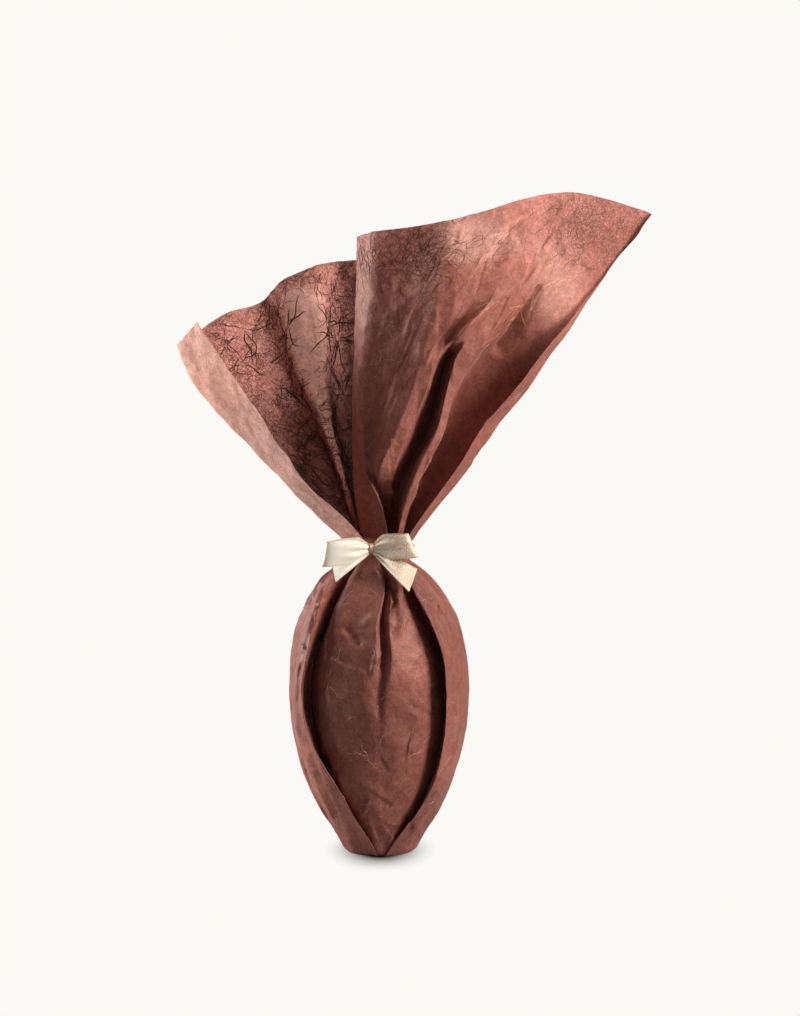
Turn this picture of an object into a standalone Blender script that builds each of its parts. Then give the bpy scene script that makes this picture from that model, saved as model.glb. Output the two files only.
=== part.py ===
"""A chocolate egg wrapped in one sheet of fibre paper, gathered at the neck by a thin tie with a satin bow.

Metres, +Z up. The origin is the centre of the flat base, -Y is the front, and +X is the side that the
tall front sheet leans to. The sizes and the tables of folds below are in millimetres and degrees.
"""

import math

import bmesh
import bpy
import numpy as np

MM = 0.001

# The wrapped body: an egg standing on a small flat.
BELLY_RADIUS = 44.8
BELLY_HEIGHT = 84.5
CROWN_RISE = 66.0
CROWN_POWER = 2.25
FOOT_DROP = 82.5
FOOT_POWER = 1.93
BASE_RADIUS = 17.0
BASE_SLOPE = 0.5
BASE_BEND = 0.004
BASE_BLEND = 2.0
NECK_RADIUS = 14.5
NECK_HEIGHT = 157.0
NECK_SHIFT = -2.0
NECK_BLEND = 3.0
CORE_RADIUS = 6.0
CORE_TOP = 166.0

# Heights at which each fold of the body is described, and the rows of its skin. The rows stand closer
# together towards the base and the neck: they are evenly spaced over a part of half a turn.
BODY_STATIONS = (0.0, 31.0, 77.0, 120.0, NECK_HEIGHT)
BODY_ROWS = 20
ROW_TURN = (0.12 * math.pi, 0.95 * math.pi)

# The sheets above the neck.
SHEET_FOOT = 150.0
SHEET_ROWS = 13
PAPER_THICKNESS = 0.7
CRISP = 0.16

# The tie round the neck.
TIE_HEIGHT = 154.5
TIE_RADIUS = 0.8
TIE_RING = 18.6

# The bow, in front of the tie.
RIBBON_WIDTH = 12.7
RIBBON_THICKNESS = 0.5
RIBBON_PINCH = 4.4
PINCH_REACH = 0.4
KNOT_CENTRE = (-4.0, -23.2, 156.1)
KNOT_RADII = (2.0, 2.6, 2.9)
LOOP_STEPS = 20
TAIL_STEPS = 8
ACROSS_STEPS = 4

# Folds of the body from the back round the left side to the front and on round the right side.
# Each row: angle from the front at every station, stand-off from the egg at every station, roundness.
# A roundness near 0.5 is a soft turn and one near 0.1 is a crisp crease.
BODY_FOLDS = (
    ("left_flank", (-98, -98, -97, -96, -98), (0, 0.3, 0.6, 0.7, 0.5), 0.40),
    ("left_tuck", (-84, -88, -86, -84, -84), (0, 0.3, 0.6, -2.3, -3.0), 0.30),
    ("left_shoulder", (-72, -78, -76, -70, -74), (0, 0.3, 0.8, 1.5, 1.0), 0.25),
    ("left_cheek", (-44, -64, -69, -56, -58), (0.3, 0.8, 1.2, 2.0, -1.0), 0.40),
    ("left_edge", (-14, -45, -56, -38, -38), (0.5, 2.0, 3.4, 4.2, 1.5), 0.10),
    ("left_pocket", (-21, -60, -73, -57, -44), (-1.0, -6.5, -8.0, -9.0, -4.5), 0.25),
    ("left_panel", (-9, -30, -46, -29, -30), (-0.8, -4.2, -5.4, -5.0, -3.0), 0.40),
    ("middle_left", (-5, -11, -18, -14, -16), (-0.5, -3.2, -4.0, -1.6, 0.5), 0.35),
    ("middle_edge", (-1, 0, 1, 3, 4), (-0.5, -3.0, -3.6, -0.6, 1.5), 0.12),
    ("middle_groove", (0, 2, 4, 5, 6), (-0.6, -3.2, -4.8, -6.5, -4.5), 0.20),
    ("middle_right", (3, 12, 17, 14, 14), (-0.5, -3.2, -4.0, -1.8, 0.0), 0.35),
    ("right_panel", (7, 28, 38, 24, 22), (-0.8, -4.2, -5.4, -5.0, -2.5), 0.40),
    ("right_pocket", (17, 58, 69, 52, 40), (-1.0, -6.5, -8.5, -9.0, -4.5), 0.25),
    ("right_edge", (5, 46, 43, 29, 30), (0.5, 2.4, 3.8, 4.8, 1.5), 0.10),
    ("right_cheek", (38, 64, 62, 48, 50), (0.3, 0.8, 1.2, 2.2, 0.5), 0.40),
    ("right_shoulder", (66, 79, 78, 62, 64), (0, 0, 0.3, 1.0, 1.0), 0.30),
    ("right_tuck", (82, 90, 88, 74, 78), (0, 0, 0, -2.8, -3.0), 0.22),
    ("right_flank", (98, 99, 98, 88, 92), (0, 0, 0, 0.8, 0.5), 0.40),
)
# Behind, the gathers alternate out and in, and run out where the paper lies flat on the egg.
BACK_GATHERS = 9
BACK_START = 112.0
GATHER_OUT = (0, 0, 0, 0.4, 1.0)
GATHER_IN = (0, 0, 0, -1.2, -3.0)
GATHER_ROUNDNESS = 0.42

# Folds of the sheets above the neck, each a line from the neck to the rim.
# Each row: angle and radius in the neck, rim point, how far the line bows out two thirds of the way up,
# and roundness.
FRONT_FOLDS = (
    ("inner_hem", (-112, 7.0), (44, 0, 280), (0, 4, 0), 0.0),
    ("inner_turn", (-96, 9.5), (14, -2, 298), (0, 4, 0), 0.40),
    ("left_turn", (-80, 13.5), (-13.5, -6, 307), (-1, 1, 0), 0.40),
    ("strip_edge", (-30, 14.5), (-3.5, -20, 312), (-3, 0, 0), 0.30),
    ("dark_panel", (-20, 11.0), (14, -29, 315), (-1, -2, 0), 0.40),
    ("first_ridge", (-6, 14.0), (36, -32, 319), (0, -5, 0), 0.25),
    ("first_edge", (8, 13.0), (54, -30, 324), (-4, -6, 0), 0.12),
    ("first_valley", (16, 7.5), (66, -26, 328), (-8, 5, 0), 0.25),
    ("second_edge", (30, 14.0), (78, -21, 331), (-10, -8, 0), 0.12),
    ("second_ridge", (42, 13.5), (90, -15, 332), (-8, -8, 0), 0.12),
    ("second_valley", (56, 8.0), (98, -10, 331.5), (-9, 3, 0), 0.25),
    ("right_panel", (68, 11.0), (112, -2, 328), (-6, -2, 0), 0.40),
    ("right_turn", (84, 12.0), (132, 12, 319.5), (-4.5, -7, 0), 0.22),
    ("right_hem", (60, 13.0), (131, 8, 319.5), (-8, -12, 3), 0.0),
)
BACK_FOLDS = (
    ("left_hem", (-66, 13.5), (-89, -17, 266.5), (-1, -11, -4), 0.0),
    ("left_turn", (-94, 13.0), (-102, 3, 253.5), (-6, -1, -5), 0.30),
    ("left_panel", (-112, 10.5), (-78, 14, 270.5), (-3, 8, 0), 0.40),
    ("left_valley", (-128, 9.0), (-60, 22, 276), (-2, 10, 0), 0.25),
    ("left_ridge", (-143, 14.0), (-43, 14, 291), (1, -3, 0), 0.18),
    ("middle_valley", (-158, 9.5), (-22, 27, 295.5), (2, 9, 0), 0.30),
    ("middle_ridge", (-175, 14.0), (0, 21, 297), (0, -2, 0), 0.20),
    ("right_valley", (168, 9.0), (24, 33, 295), (0, 8, 0), 0.30),
    ("right_ridge", (150, 14.0), (47, 27, 286), (0, 2, 0), 0.25),
    ("right_panel", (130, 10.0), (66, 30, 274), (0, 5, 0), 0.40),
    ("right_hem", (108, 13.5), (80, 17, 260), (0, 3, 0), 0.0),
)

# Ribbon loops: the middle of the far turn, the lean of the ribbon there, and half the depth of the loop.
LOOPS = (
    ("left_loop", (-27.6, -20.5, 153.9), 9.0, 2.6),
    ("right_loop", (16.6, -20.5, 158.7), -22.0, 2.6),
)
# Ribbon tails: the upper and the lower corner of the cut end, and how far each edge bows forward.
TAILS = (
    ("left_tail", (-23.6, -23.0, 148.3), (-21.8, -28.0, 140.5), 0.5, 2.5),
    ("right_tail", (18.6, -25.5, 146.2), (14.4, -36.2, 135.9), 1.0, 2.5),
)

PAPER_BROWN = (0.30, 0.14, 0.11, 1.0)
RIBBON_GOLD = (0.78, 0.62, 0.40, 1.0)
WIRE_GOLD = (0.70, 0.48, 0.28, 1.0)


def clear_scene():
    for thing in list(bpy.data.objects):
        bpy.data.objects.remove(thing)


def new_collection(name):
    collection = bpy.data.collections.new(name)
    bpy.context.scene.collection.children.link(collection)
    return collection


def plain_material(name, colour, roughness, metallic=0.0):
    material = bpy.data.materials.new(name)
    material.use_nodes = True
    shader = material.node_tree.nodes["Principled BSDF"]
    shader.inputs["Base Color"].default_value = colour
    shader.inputs["Roughness"].default_value = roughness
    shader.inputs["Metallic"].default_value = metallic
    return material


def smooth_through(stations, values, at):
    """A smooth curve through the values at the stations, read at other places (cubic Hermite)."""
    stations = np.asarray(stations, float)
    values = np.asarray(values, float)
    slopes = np.gradient(values, stations, axis=0)
    k = np.clip(np.searchsorted(stations, at) - 1, 0, len(stations) - 2)
    step = stations[k + 1] - stations[k]
    t = (at - stations[k]) / step
    return (
        (2 * t**3 - 3 * t**2 + 1) * values[k]
        + (t**3 - 2 * t**2 + t) * step * slopes[k]
        + (3 * t**2 - 2 * t**3) * values[k + 1]
        + (t**3 - t**2) * step * slopes[k + 1]
    )


def smooth_max(a, b, softness):
    """The larger of a and b, blended over the given softness."""
    return 0.5 * (a + b + np.sqrt((a - b) ** 2 + softness**2))


def egg_radius(z):
    """The egg's outline: two half ovals that meet at the belly, a flare up from the base, and the neck."""
    crown = np.clip((z - BELLY_HEIGHT) / CROWN_RISE, 0, 1)
    foot = np.clip((BELLY_HEIGHT - z) / FOOT_DROP, 0, 1)
    oval = BELLY_RADIUS * np.sqrt(np.clip(1 - crown**CROWN_POWER - foot**FOOT_POWER, 0, 1))
    flare = BASE_RADIUS + (BASE_SLOPE - BASE_BEND * z) * z
    return smooth_max(smooth_max(oval, flare, BASE_BLEND), NECK_RADIUS, NECK_BLEND)


def body_centre(z):
    """The sideways shift of the section, which grows towards the neck."""
    return NECK_SHIFT * np.clip(z / NECK_HEIGHT, 0, None) ** 4


def fold_weights(roundness, closed):
    """Weights that turn a row of fold points into a section: straight between folds, rounded at each."""
    count = len(roundness)
    rows = []
    for k in range(count):
        before, after = (k - 1) % count, (k + 1) % count
        if not closed and k in (0, count - 1):
            rows.append({k: 1.0})
            continue
        cut = roundness[k]
        enter = {before: cut, k: 1 - cut}
        leave = {after: cut, k: 1 - cut}
        middle = {before: 0.25 * cut, k: 1 - 0.5 * cut, after: 0.25 * cut}
        rows += [enter, leave] if cut < CRISP else [enter, middle, leave]
    weights = np.zeros((len(rows), count))
    for r, row in enumerate(rows):
        for k, share in row.items():
            weights[r, k] += share
    return weights


def grid_faces(rows, columns, closed=False):
    """Quads of a grid, in order, whose columns may close into a ring."""
    faces = []
    for i in range(rows - 1):
        for j in range(columns if closed else columns - 1):
            k = (j + 1) % columns
            faces.append((i * columns + j, i * columns + k, (i + 1) * columns + k, (i + 1) * columns + j))
    return faces


def mesh_object(name, points, faces, collection, material):
    mesh = bpy.data.meshes.new(name)
    mesh.from_pydata([tuple(p) for p in points.reshape(-1, 3) * MM], [], faces)
    mesh.materials.append(material)
    thing = bpy.data.objects.new(name, mesh)
    collection.objects.link(thing)
    return thing


def face_outwards(thing):
    shape = bmesh.new()
    shape.from_mesh(thing.data)
    bmesh.ops.recalc_face_normals(shape, faces=shape.faces)
    shape.to_mesh(thing.data)
    shape.free()


def thin_sheet(name, points, thickness, collection, material):
    """A grid of points made into a sheet of the given thickness by Solidify."""
    rows, columns = points.shape[:2]
    sheet = mesh_object(name, points, grid_faces(rows, columns), collection, material)
    solidify = sheet.modifiers.new("Thickness", "SOLIDIFY")
    solidify.thickness = thickness * MM
    solidify.offset = 0.0
    return sheet


def join_all(target, joined):
    """One Boolean union of the target with a collection, applied, whose objects are then removed."""
    union = target.modifiers.new("Join", "BOOLEAN")
    union.operation = "UNION"
    union.operand_type = "COLLECTION"
    union.collection = joined
    graph = bpy.context.evaluated_depsgraph_get()
    mesh = bpy.data.meshes.new_from_object(target.evaluated_get(graph))
    target.modifiers.clear()
    target.data = mesh
    for thing in list(joined.objects):
        bpy.data.objects.remove(thing)
    bpy.data.collections.remove(joined)


def all_body_folds():
    """The named folds of the front and sides, then the gathers behind, from right to left."""
    folds = list(BODY_FOLDS)
    step = (360 - 2 * BACK_START) / (BACK_GATHERS - 1)
    for i in range(BACK_GATHERS):
        angle = BACK_START + i * step
        stand_off = GATHER_IN if i % 2 == 0 else GATHER_OUT
        folds.append((f"gather_{i}", (angle,) * len(BODY_STATIONS), stand_off, GATHER_ROUNDNESS))
    return folds


def body_section(z):
    """The fold points of the body at heights z: (rows, folds, 3)."""
    points = []
    for _, angles, stand_off, _ in all_body_folds():
        angle = np.radians(smooth_through(BODY_STATIONS, angles, z))
        radius = egg_radius(z) + smooth_through(BODY_STATIONS, stand_off, z)
        x = radius * np.sin(angle) + body_centre(z)
        points.append(np.stack([x, -radius * np.cos(angle), z], axis=-1))
    return np.stack(points, axis=1)


def wrapped_body(collection, material):
    """The closed skin of the wrapped egg: a loft of folded sections, flat below and drawn in above."""
    rise = np.cos(ROW_TURN[0]) - np.cos(np.linspace(*ROW_TURN, BODY_ROWS))
    z = NECK_HEIGHT * rise / rise[-1]
    weights = fold_weights([fold[3] for fold in all_body_folds()], closed=True)
    skin = np.einsum("mk,nkc->nmc", weights, body_section(z))
    centre = np.array([NECK_SHIFT, 0.0, 0.0])
    shrink = CORE_RADIUS / NECK_RADIUS
    core = (skin[-1] - centre) * (shrink, shrink, 1) + centre
    core[:, 2] = CORE_TOP
    rows = np.concatenate([skin, core[None]])
    columns = rows.shape[1]
    faces = grid_faces(len(rows), columns, closed=True)
    last = (len(rows) - 1) * columns
    faces.append(tuple(reversed(range(columns))))
    faces.append(tuple(last + j for j in range(columns)))
    body = mesh_object("paper_wrap", rows, faces, collection, material)
    face_outwards(body)
    return body


def sheet_points(folds, rows):
    """Fold lines from the neck to the rim, each bowed most two thirds of the way up: (rows, folds, 3)."""
    v = np.linspace(0, 1, rows)[:, None]
    bulge = 6.75 * v**2 * (1 - v)
    lines = []
    for _, (angle, radius), rim, bow, _ in folds:
        turn = math.radians(angle)
        foot = np.array([radius * math.sin(turn) + NECK_SHIFT, -radius * math.cos(turn), SHEET_FOOT])
        lines.append((1 - v) * foot + v * np.array(rim) + bulge * np.array(bow))
    return np.stack(lines, axis=1)


def paper_sheet(name, folds, collection, material):
    """One flared sheet: flat panels between the fold lines."""
    weights = fold_weights([fold[4] for fold in folds], closed=False)
    points = np.einsum("mk,nkc->nmc", weights, sheet_points(folds, SHEET_ROWS))
    return thin_sheet(name, points, PAPER_THICKNESS, collection, material)


def paper_wrap(collection, material):
    body = wrapped_body(collection, material)
    sheets = new_collection("sheets")
    paper_sheet("front_sheet", FRONT_FOLDS, sheets, material)
    paper_sheet("back_sheet", BACK_FOLDS, sheets, material)
    join_all(body, sheets)
    return body


def neck_tie(collection, material):
    """A thin wire ring round the gathered neck."""
    bpy.ops.mesh.primitive_torus_add(
        major_radius=TIE_RING * MM,
        minor_radius=TIE_RADIUS * MM,
        major_segments=40,
        minor_segments=8,
        location=(NECK_SHIFT * MM, 0, TIE_HEIGHT * MM),
    )
    ring = bpy.context.object
    ring.name = "neck_tie"
    for owner in list(ring.users_collection):
        owner.objects.unlink(ring)
    collection.objects.link(ring)
    ring.data.materials.append(material)
    ring.data.shade_smooth()
    return ring


def ribbon_half_width(out):
    """Half the ribbon's width: pinched at the knot, full from PINCH_REACH of the way out."""
    t = np.clip(out / PINCH_REACH, 0, 1)
    return 0.5 * (RIBBON_PINCH + (RIBBON_WIDTH - RIBBON_PINCH) * t * t * (3 - 2 * t))


def ribbon_loop(name, far_turn, lean, depth, collection, material):
    """A ribbon loop: out from the knot in front, round the far turn and back to the knot behind."""
    turn = np.linspace(0, 2 * math.pi, LOOP_STEPS + 1)
    out = 0.5 * (1 - np.cos(turn))
    knot = np.array(KNOT_CENTRE)
    line = knot + out[:, None] * (np.array(far_turn) - knot)
    line[:, 1] -= depth * np.sin(turn) * (0.35 + 0.65 * out)
    half = ribbon_half_width(out)
    tilt = np.radians(lean * out)
    across = np.stack([np.sin(tilt), np.zeros_like(tilt), np.cos(tilt)], axis=-1)
    s = np.linspace(-1, 1, ACROSS_STEPS + 1)
    points = line[:, None] + (s[None] * half[:, None])[..., None] * across[:, None]
    return thin_sheet(name, points, RIBBON_THICKNESS, collection, material)


def ribbon_tail(name, upper, lower, upper_bow, lower_bow, collection, material):
    """A ribbon tail from the knot to its cut end, between an upper and a lower edge."""
    t = np.linspace(0, 1, TAIL_STEPS + 1)[:, None]
    knot = np.array(KNOT_CENTRE)
    start = np.array([0, 0, 0.5 * RIBBON_PINCH])
    bulge = 4 * t * (1 - t)
    up = (1 - t) * (knot + start) + t * np.array(upper) + bulge * np.array([0, -upper_bow, 0])
    low = (1 - t) * (knot - start) + t * np.array(lower) + bulge * np.array([0, -lower_bow, 0])
    s = np.linspace(0, 1, ACROSS_STEPS + 1)[None, :, None]
    points = (1 - s) * low[:, None] + s * up[:, None]
    return thin_sheet(name, points, RIBBON_THICKNESS, collection, material)


def bow(collection, material):
    """The bow: a small knot joined with two loops and two tails."""
    bpy.ops.mesh.primitive_uv_sphere_add(segments=16, ring_count=10, radius=1.0)
    knot = bpy.context.object
    knot.name = "bow"
    for owner in list(knot.users_collection):
        owner.objects.unlink(knot)
    collection.objects.link(knot)
    for vertex in knot.data.vertices:
        vertex.co = [(KNOT_CENTRE[a] + KNOT_RADII[a] * vertex.co[a]) * MM for a in range(3)]
    knot.data.materials.append(material)
    ribbons = new_collection("ribbons")
    for name, far_turn, lean, depth in LOOPS:
        ribbon_loop(name, far_turn, lean, depth, ribbons, material)
    for name, upper, lower, upper_bow, lower_bow in TAILS:
        ribbon_tail(name, upper, lower, upper_bow, lower_bow, ribbons, material)
    join_all(knot, ribbons)
    return knot


def main():
    clear_scene()
    parts = new_collection("wrapped_chocolate_egg")
    paper_wrap(parts, plain_material("fibre_paper", PAPER_BROWN, 0.75))
    neck_tie(parts, plain_material("gold_wire", WIRE_GOLD, 0.35, 0.8))
    bow(parts, plain_material("satin_ribbon", RIBBON_GOLD, 0.4))


main()
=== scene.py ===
import math

import bpy
import numpy as np
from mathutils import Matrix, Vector


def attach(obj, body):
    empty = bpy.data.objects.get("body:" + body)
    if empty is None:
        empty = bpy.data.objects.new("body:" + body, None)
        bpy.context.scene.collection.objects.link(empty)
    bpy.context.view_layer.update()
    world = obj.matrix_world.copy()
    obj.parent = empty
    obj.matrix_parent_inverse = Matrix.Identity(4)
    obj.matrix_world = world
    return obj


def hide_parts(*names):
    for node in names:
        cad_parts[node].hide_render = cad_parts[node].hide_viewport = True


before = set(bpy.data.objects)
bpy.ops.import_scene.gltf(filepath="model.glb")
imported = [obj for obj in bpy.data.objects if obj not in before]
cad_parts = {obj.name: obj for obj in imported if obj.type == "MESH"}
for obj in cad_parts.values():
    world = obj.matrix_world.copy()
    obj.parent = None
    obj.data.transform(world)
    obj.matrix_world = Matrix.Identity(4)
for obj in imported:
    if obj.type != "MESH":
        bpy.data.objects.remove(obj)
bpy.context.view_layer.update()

# A chocolate egg wrapped in one sheet of fibre paper, drawn in at the neck under a satin bow.
# Tables are in millimetres and degrees; the front faces -Y and the tall front sheet leans to +X.
mm = 0.001
scene = bpy.context.scene


# Camera, backdrop and light

view = {
    "target": (10, 0, 173.6),  # the point at the picture's centre
    "distance": 1500,
    "elevation": 6,
    "pictureHeight": 1016,  # the picture's long side, in pixels
    "pixelsPerRadian": 3000,
}

studio = {
    "backdrop": (0.956, 0.947, 0.914),  # warm white, as the camera sees it
    "roomLight": 0.025,
    "floorRadius": 3000,
    "floorBounce": (0.42, 0.41, 0.40),
    "shadow": (54.0, 36.0, 1.85),  # reach and depth in millimetres, power
    "shadowShape": (1.8, 1.0, 1.0),
}

# name: place, aim, width and height in millimetres, watts, colour
softboxes = {
    "rimSoftbox": ((-1000, 300, 330), (0, 0, 170), (400, 800), 19.0, (1.0, 0.985, 0.97)),
    "keySoftbox": ((880, -480, 560), (20, 0, 170), (380, 600), 16.0, (1.0, 0.97, 0.94)),
    "backSoftbox": ((150, 950, 620), (10, 0, 260), (1300, 800), 4.0, (1.0, 0.97, 0.95)),
    "topSoftbox": ((-120, -160, 1250), (-20, 0, 250), (500, 400), 2.6, (1.0, 0.98, 0.96)),
}


def lookFrom(thing, place, target):
    # sets an object at a place with its -Z axis on the line to the target
    thing.location = Vector(place) * mm
    line = Vector(target) - Vector(place)
    thing.rotation_euler = line.to_track_quat("-Z", "Y").to_euler()


def addNode(tree, kind, sockets, **properties):
    # a shader node whose sockets take a link or a value
    node = tree.nodes.new("ShaderNode" + kind)
    for name, value in properties.items():
        setattr(node, name, value)
    for name, value in sockets.items():
        if isinstance(value, bpy.types.NodeSocket):
            tree.links.new(value, node.inputs[name])
        else:
            node.inputs[name].default_value = value
    return node


def opaque(colour):
    return (*colour, 1.0)


def between(tree, value, low, high, start=0.0, end=1.0):
    # a value read from low to high as start to end, held beyond
    sockets = {"Value": value, "From Min": low, "From Max": high, "To Min": start, "To Max": end}
    return addNode(tree, "MapRange", sockets).outputs["Result"]


def combine(tree, operation, a, b=0.0):
    # one operation on two values, or on the first alone
    return addNode(tree, "Math", {0: a, 1: b}, operation=operation).outputs[0]


def startMaterial(name):
    # an empty material, its nodes, and Object coordinates for its patterns
    material = bpy.data.materials.new(name)
    material.use_nodes = True
    tree = material.node_tree
    tree.nodes.clear()
    return material, tree, addNode(tree, "TexCoord", {}).outputs["Object"]


def endMaterial(material, surface):
    addNode(material.node_tree, "OutputMaterial", {"Surface": surface.outputs[0]})
    return material


def plus(tree, a, b):
    return combine(tree, "ADD", a, b)


def times(tree, a, b):
    return combine(tree, "MULTIPLY", a, b)


def addCamera():
    # a camera at the distance and elevation from its target, with the lens of the picture
    data = bpy.data.cameras.new("photoCamera")
    data.sensor_width = 36.0
    data.lens = data.sensor_width * view["pixelsPerRadian"] / view["pictureHeight"]
    data.clip_start, data.clip_end = 0.05, 50.0
    camera = bpy.data.objects.new("photoCamera", data)
    scene.collection.objects.link(camera)
    rise = math.radians(view["elevation"])
    target = np.array(view["target"], float)
    place = target + view["distance"] * np.array([0, -math.cos(rise), math.sin(rise)])
    lookFrom(camera, place, target)
    scene.camera = camera


def addSoftboxes():
    # area lamps that the camera does not see
    for name, (place, aim, (width, height), watts, colour) in softboxes.items():
        data = bpy.data.lights.new(name, "AREA")
        data.shape = "RECTANGLE"
        data.size, data.size_y = width * mm, height * mm
        data.energy, data.color = watts, colour
        lamp = bpy.data.objects.new(name, data)
        scene.collection.objects.link(lamp)
        lookFrom(lamp, place, aim)
        lamp.visible_camera = False


def addRoom():
    # the room shows the backdrop's white and lights the object far less
    world = bpy.data.worlds.new("paleRoom")
    world.use_nodes = True
    tree = world.node_tree
    tree.nodes.clear()
    white = opaque(studio["backdrop"])
    seen = addNode(tree, "Background", {"Color": white, "Strength": 1.0})
    glow = addNode(tree, "Background", {"Color": white, "Strength": studio["roomLight"]})
    ray = addNode(tree, "LightPath", {})
    sockets = {0: ray.outputs["Is Camera Ray"], 1: glow.outputs[0], 2: seen.outputs[0]}
    mix = addNode(tree, "MixShader", sockets)
    addNode(tree, "OutputWorld", {"Surface": mix.outputs[0]})
    scene.world = world


def addFloor():
    # a round pale floor of the backdrop's white, with a soft oval shadow: its darkness is
    # ((reach - r) / depth)^power, r the distance from the object's middle, stretched sideways
    radius = studio["floorRadius"] * mm
    bpy.ops.mesh.primitive_circle_add(vertices=96, radius=radius, fill_type="NGON")
    floor = bpy.context.object
    floor.name = "paleFloor"
    material, tree, place = startMaterial("paleFloor")
    stretch = {0: place, 1: studio["shadowShape"]}
    oval = addNode(tree, "VectorMath", stretch, operation="MULTIPLY").outputs[0]
    away = addNode(tree, "VectorMath", {0: oval}, operation="LENGTH").outputs["Value"]
    reach, depth, power = studio["shadow"]
    near = between(tree, away, (reach - depth) * mm, reach * mm, 1.0, 0.0)
    light = combine(tree, "SUBTRACT", 1.0, combine(tree, "POWER", near, power))
    seen = addNode(tree, "Emission", {"Color": opaque(studio["backdrop"]), "Strength": light})
    dim = addNode(tree, "BsdfDiffuse", {"Color": opaque(studio["floorBounce"])})
    ray = addNode(tree, "LightPath", {}).outputs["Is Camera Ray"]
    mix = addNode(tree, "MixShader", {0: ray, 1: dim.outputs[0], 2: seen.outputs[0]})
    floor.data.materials.append(endMaterial(material, mix))


scene.view_settings.view_transform = "Standard"
addCamera()
addRoom()
addFloor()
addSoftboxes()
print("scene: camera, room and light")


# Materials

paper = {
    "brown": (0.270, 0.088, 0.062),
    "rose": (0.335, 0.115, 0.083),
    "layeredAndShade": (0.150, 0.048, 0.034),  # where it lies in many layers, and painted shade on the front sheet's panel
    "glow": (0.80, 0.355, 0.285),  # light that comes through the paper
    "pale": (0.66, 0.38, 0.31),  # painted sheen and highlights on the lit strips, ridge and folds
    "fibre": (0.045, 0.014, 0.010),
    "roughness": 0.5,
    "relief": 0.75,
    "grainDepth": 0.0004,  # in metres
    "crumpleDepth": 0.0017,  # in metres
    # how fine each pattern is, in waves or cells to the metre
    "clouds": 45,
    "mottle": 260,
    "grain": 1050,
    "crumples": (52, 0.012),  # and how far its cells are bent, in metres
    "smallCrumples": (125, 0.006),
    # the same, the width of a strand as a share of a cell, and the reach of its curls
    "fineWeb": (560, 0.13, 0.003),
    "coarseWeb": (210, 0.05, 0.008),
    "webPatches": 120,
}

satin = {
    "thread": (0.95, 0.88, 0.76),
    "shade": (0.56, 0.37, 0.19),
    "threadsPerMetre": 2600,
    "ribbonWidth": 12.7,  # in millimetres, as the darker woven edges
    "darkEdge": 0.6,
}

wire = {"gold": (0.78, 0.50, 0.26), "dull": (0.42, 0.22, 0.12)}

# colour and roughness
hairs = {
    # the dark and brown hairs are as dark as fibres look against light let through: partly painted shade
    "dark": ((0.055, 0.018, 0.013), 0.55),
    "brown": ((0.16, 0.062, 0.045), 0.55),
    "pale": ((0.66, 0.42, 0.33), 0.45),
    "golden": ((0.62, 0.33, 0.06), 0.35),
}


def noise(tree, place, scale, detail=2.0, roughness=0.5):
    sockets = {"Vector": place, "Scale": scale, "Detail": detail, "Roughness": roughness}
    return addNode(tree, "TexNoise", sockets).outputs["Fac"]


def blendColour(tree, share, a, b, mode="MIX"):
    # colour a with a share of colour b
    sockets = {0: share, 6: a, 7: b}
    return addNode(tree, "Mix", sockets, data_type="RGBA", blend_type=mode).outputs[2]


def shaded(tree, colour, tone):
    # the colour times a grey of that tone
    grey = addNode(tree, "CombineColor", {0: tone, 1: tone, 2: tone}).outputs[0]
    return blendColour(tree, 1.0, colour, grey, "MULTIPLY")


def bent(tree, place, scale, reach):
    # the place pushed about by a coarse noise, so that what is drawn on it curls
    push = addNode(tree, "TexNoise", {"Vector": place, "Scale": scale, "Detail": 2.0}).outputs["Color"]
    half = (0.5, 0.5, 0.5)
    centred = addNode(tree, "VectorMath", {0: push, 1: half}, operation="SUBTRACT").outputs[0]
    scaled = addNode(tree, "VectorMath", {0: centred, "Scale": reach}, operation="SCALE").outputs[0]
    return addNode(tree, "VectorMath", {0: place, 1: scaled}, operation="ADD").outputs[0]


def strands(tree, place, scale, width, reach):
    # thin curly lines: the borders of bent cells
    sockets = {"Vector": bent(tree, place, scale * 0.9, reach), "Scale": scale}
    lines = addNode(tree, "TexVoronoi", sockets, feature="DISTANCE_TO_EDGE").outputs["Distance"]
    return between(tree, lines, 0.0, width, 1.0, 0.0)


def cells(tree, place, scale, reach):
    # crumpled paper: hollows that meet at sharp ridges
    sockets = {"Vector": bent(tree, place, scale * 0.5, reach), "Scale": scale}
    return addNode(tree, "TexVoronoi", sockets, feature="F1").outputs["Distance"]


def attribute(tree, name):
    return addNode(tree, "Attribute", {}, attribute_name=name).outputs["Fac"]


def bump(tree, strength, depth, height, **under):
    # relief of a depth in metres, over the relief under it
    sockets = {"Strength": strength, "Distance": depth, "Height": height, **under}
    return addNode(tree, "Bump", sockets).outputs["Normal"]


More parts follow.
